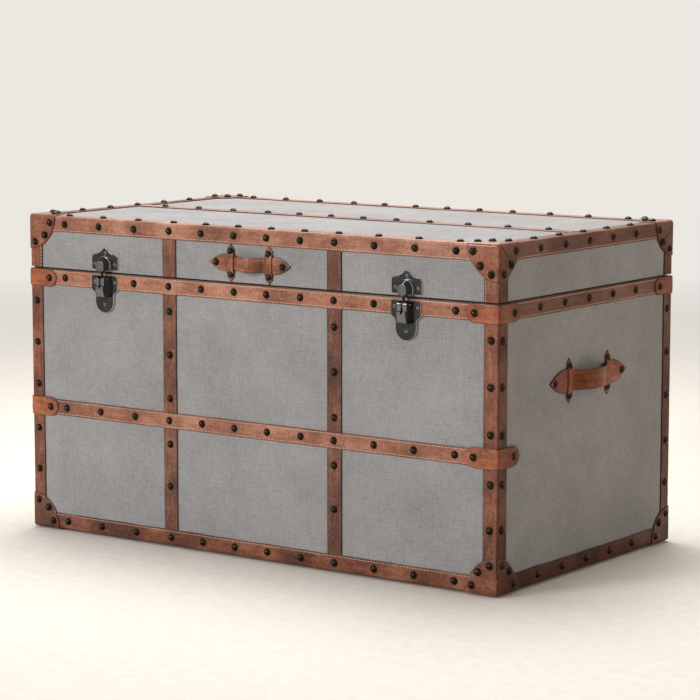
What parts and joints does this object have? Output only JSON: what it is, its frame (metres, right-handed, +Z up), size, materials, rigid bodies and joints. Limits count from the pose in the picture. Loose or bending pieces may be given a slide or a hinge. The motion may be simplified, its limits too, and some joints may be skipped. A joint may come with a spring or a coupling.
{
  "type": "storage trunk",
  "caption": "Floor-standing storage trunk in grey cloth with nailed reddish-brown leather trim, black draw latches, strap handles and a hinged lid on slotted stays",
  "frame": {"origin": "on the floor under the middle of the case", "axes": "+X along the width to the right seen from the front, +Y from front to back, +Z up"},
  "size_m": [1.046, 0.5855, 0.577],
  "materials": {
    "leather": "reddish-brown waxed leather, worn lighter on raised places",
    "board": "plain sawn board",
    "cover_cloth": "fine matt grey cloth, faintly mottled",
    "lining_cloth": "plain natural cotton",
    "felt": "black felt",
    "glide": "dull black nylon",
    "nail_bronze": "dark antique bronze, half polished",
    "latch_black": "black gunmetal lacquer, glossy, worn on the edges",
    "steel": "plain steel"
  },
  "bodies": {
    "trunk_body": {"front_board": "board", "back_board": "board", "left_end_board": "board", "right_end_board": "board", "floor_board": "board", "body_cloth": "cover_cloth", "body_lining": "lining_cloth", "rim_felt": "felt", "floor_glides": "glide", "corner_posts": "leather", "front_uprights": "leather", "rim_bands": "leather", "mid_band": "leather", "foot_bindings": "leather", "rim_loops": "leather", "mid_loops": "leather", "foot_caps": "leather", "left_handle": "leather", "right_handle": "leather", "end_keepers": "leather", "front_nails": "nail_bronze", "back_nails": "nail_bronze", "end_nails": "nail_bronze", "latch_base_left": "latch_black", "latch_base_right": "latch_black", "latch_screws": "latch_black", "lever_rivets": "latch_black", "hinge_body_leaves": "steel", "hinge_pins": "steel", "stay_studs": "steel"},
    "lid": {"lid_top_board": "board", "lid_front_rail": "board", "lid_back_rail": "board", "lid_left_rail": "board", "lid_right_rail": "board", "lid_cloth": "cover_cloth", "lid_lining": "lining_cloth", "lid_bindings": "leather", "lid_posts": "leather", "lid_uprights": "leather", "lid_top_strap": "leather", "lid_caps": "leather", "lid_handle": "leather", "lid_keepers": "leather", "lid_front_nails": "nail_bronze", "lid_back_nails": "nail_bronze", "lid_end_nails": "nail_bronze", "lid_top_nails": "nail_bronze", "strike_left": "latch_black", "strike_right": "latch_black", "strike_screws": "latch_black", "hinge_lid_leaves": "steel", "stay_pivots": "steel"},
    "latch_lever_left": {"latch_lever_left": "latch_black"},
    "latch_lever_right": {"latch_lever_right": "latch_black"},
    "latch_hook_left": {"latch_hook_left": "latch_black"},
    "latch_hook_right": {"latch_hook_right": "latch_black"},
    "stay_arm_left": {"stay_arm_left": "steel"},
    "stay_arm_right": {"stay_arm_right": "steel"}
  },
  "joints": [
    {"name": "lid_hinge", "type": "hinge", "parent": "trunk_body", "child": "lid", "pos_m": [0, 0.2845, 0.4755], "axis": [-1, 0, 0], "range_deg": [0, 100]},
    {"name": "left_lever", "type": "hinge", "parent": "trunk_body", "child": "latch_lever_left", "pos_m": [-0.323, -0.289, 0.4645], "axis": [-1, 0, 0], "range_deg": [0, 90]},
    {"name": "left_hook", "type": "hinge", "parent": "latch_lever_left", "child": "latch_hook_left", "pos_m": [-0.323, -0.289, 0.4505], "axis": [-1, 0, 0], "range_deg": [-90, 0]},
    {"name": "left_stay", "type": "hinge", "parent": "lid", "child": "stay_arm_left", "pos_m": [-0.4805, 0.13993, 0.5155], "axis": [-1, 0, 0], "range_deg": [-50, 0]},
    {"name": "right_lever", "type": "hinge", "parent": "trunk_body", "child": "latch_lever_right", "pos_m": [0.323, -0.289, 0.4645], "axis": [-1, 0, 0], "range_deg": [0, 90]},
    {"name": "right_hook", "type": "hinge", "parent": "latch_lever_right", "child": "latch_hook_right", "pos_m": [0.323, -0.289, 0.4505], "axis": [-1, 0, 0], "range_deg": [-90, 0]},
    {"name": "right_stay", "type": "hinge", "parent": "lid", "child": "stay_arm_right", "pos_m": [0.4805, 0.13993, 0.5155], "axis": [-1, 0, 0], "range_deg": [-50, 0]}
  ],
  "couplings": [
    {"joint": "left_hook", "follows": "left_lever", "ratio": -1},
    {"joint": "left_stay", "follows": "lid_hinge", "ratio": -0.5},
    {"joint": "right_hook", "follows": "right_lever", "ratio": -1},
    {"joint": "right_stay", "follows": "lid_hinge", "ratio": -0.5}
  ]
}
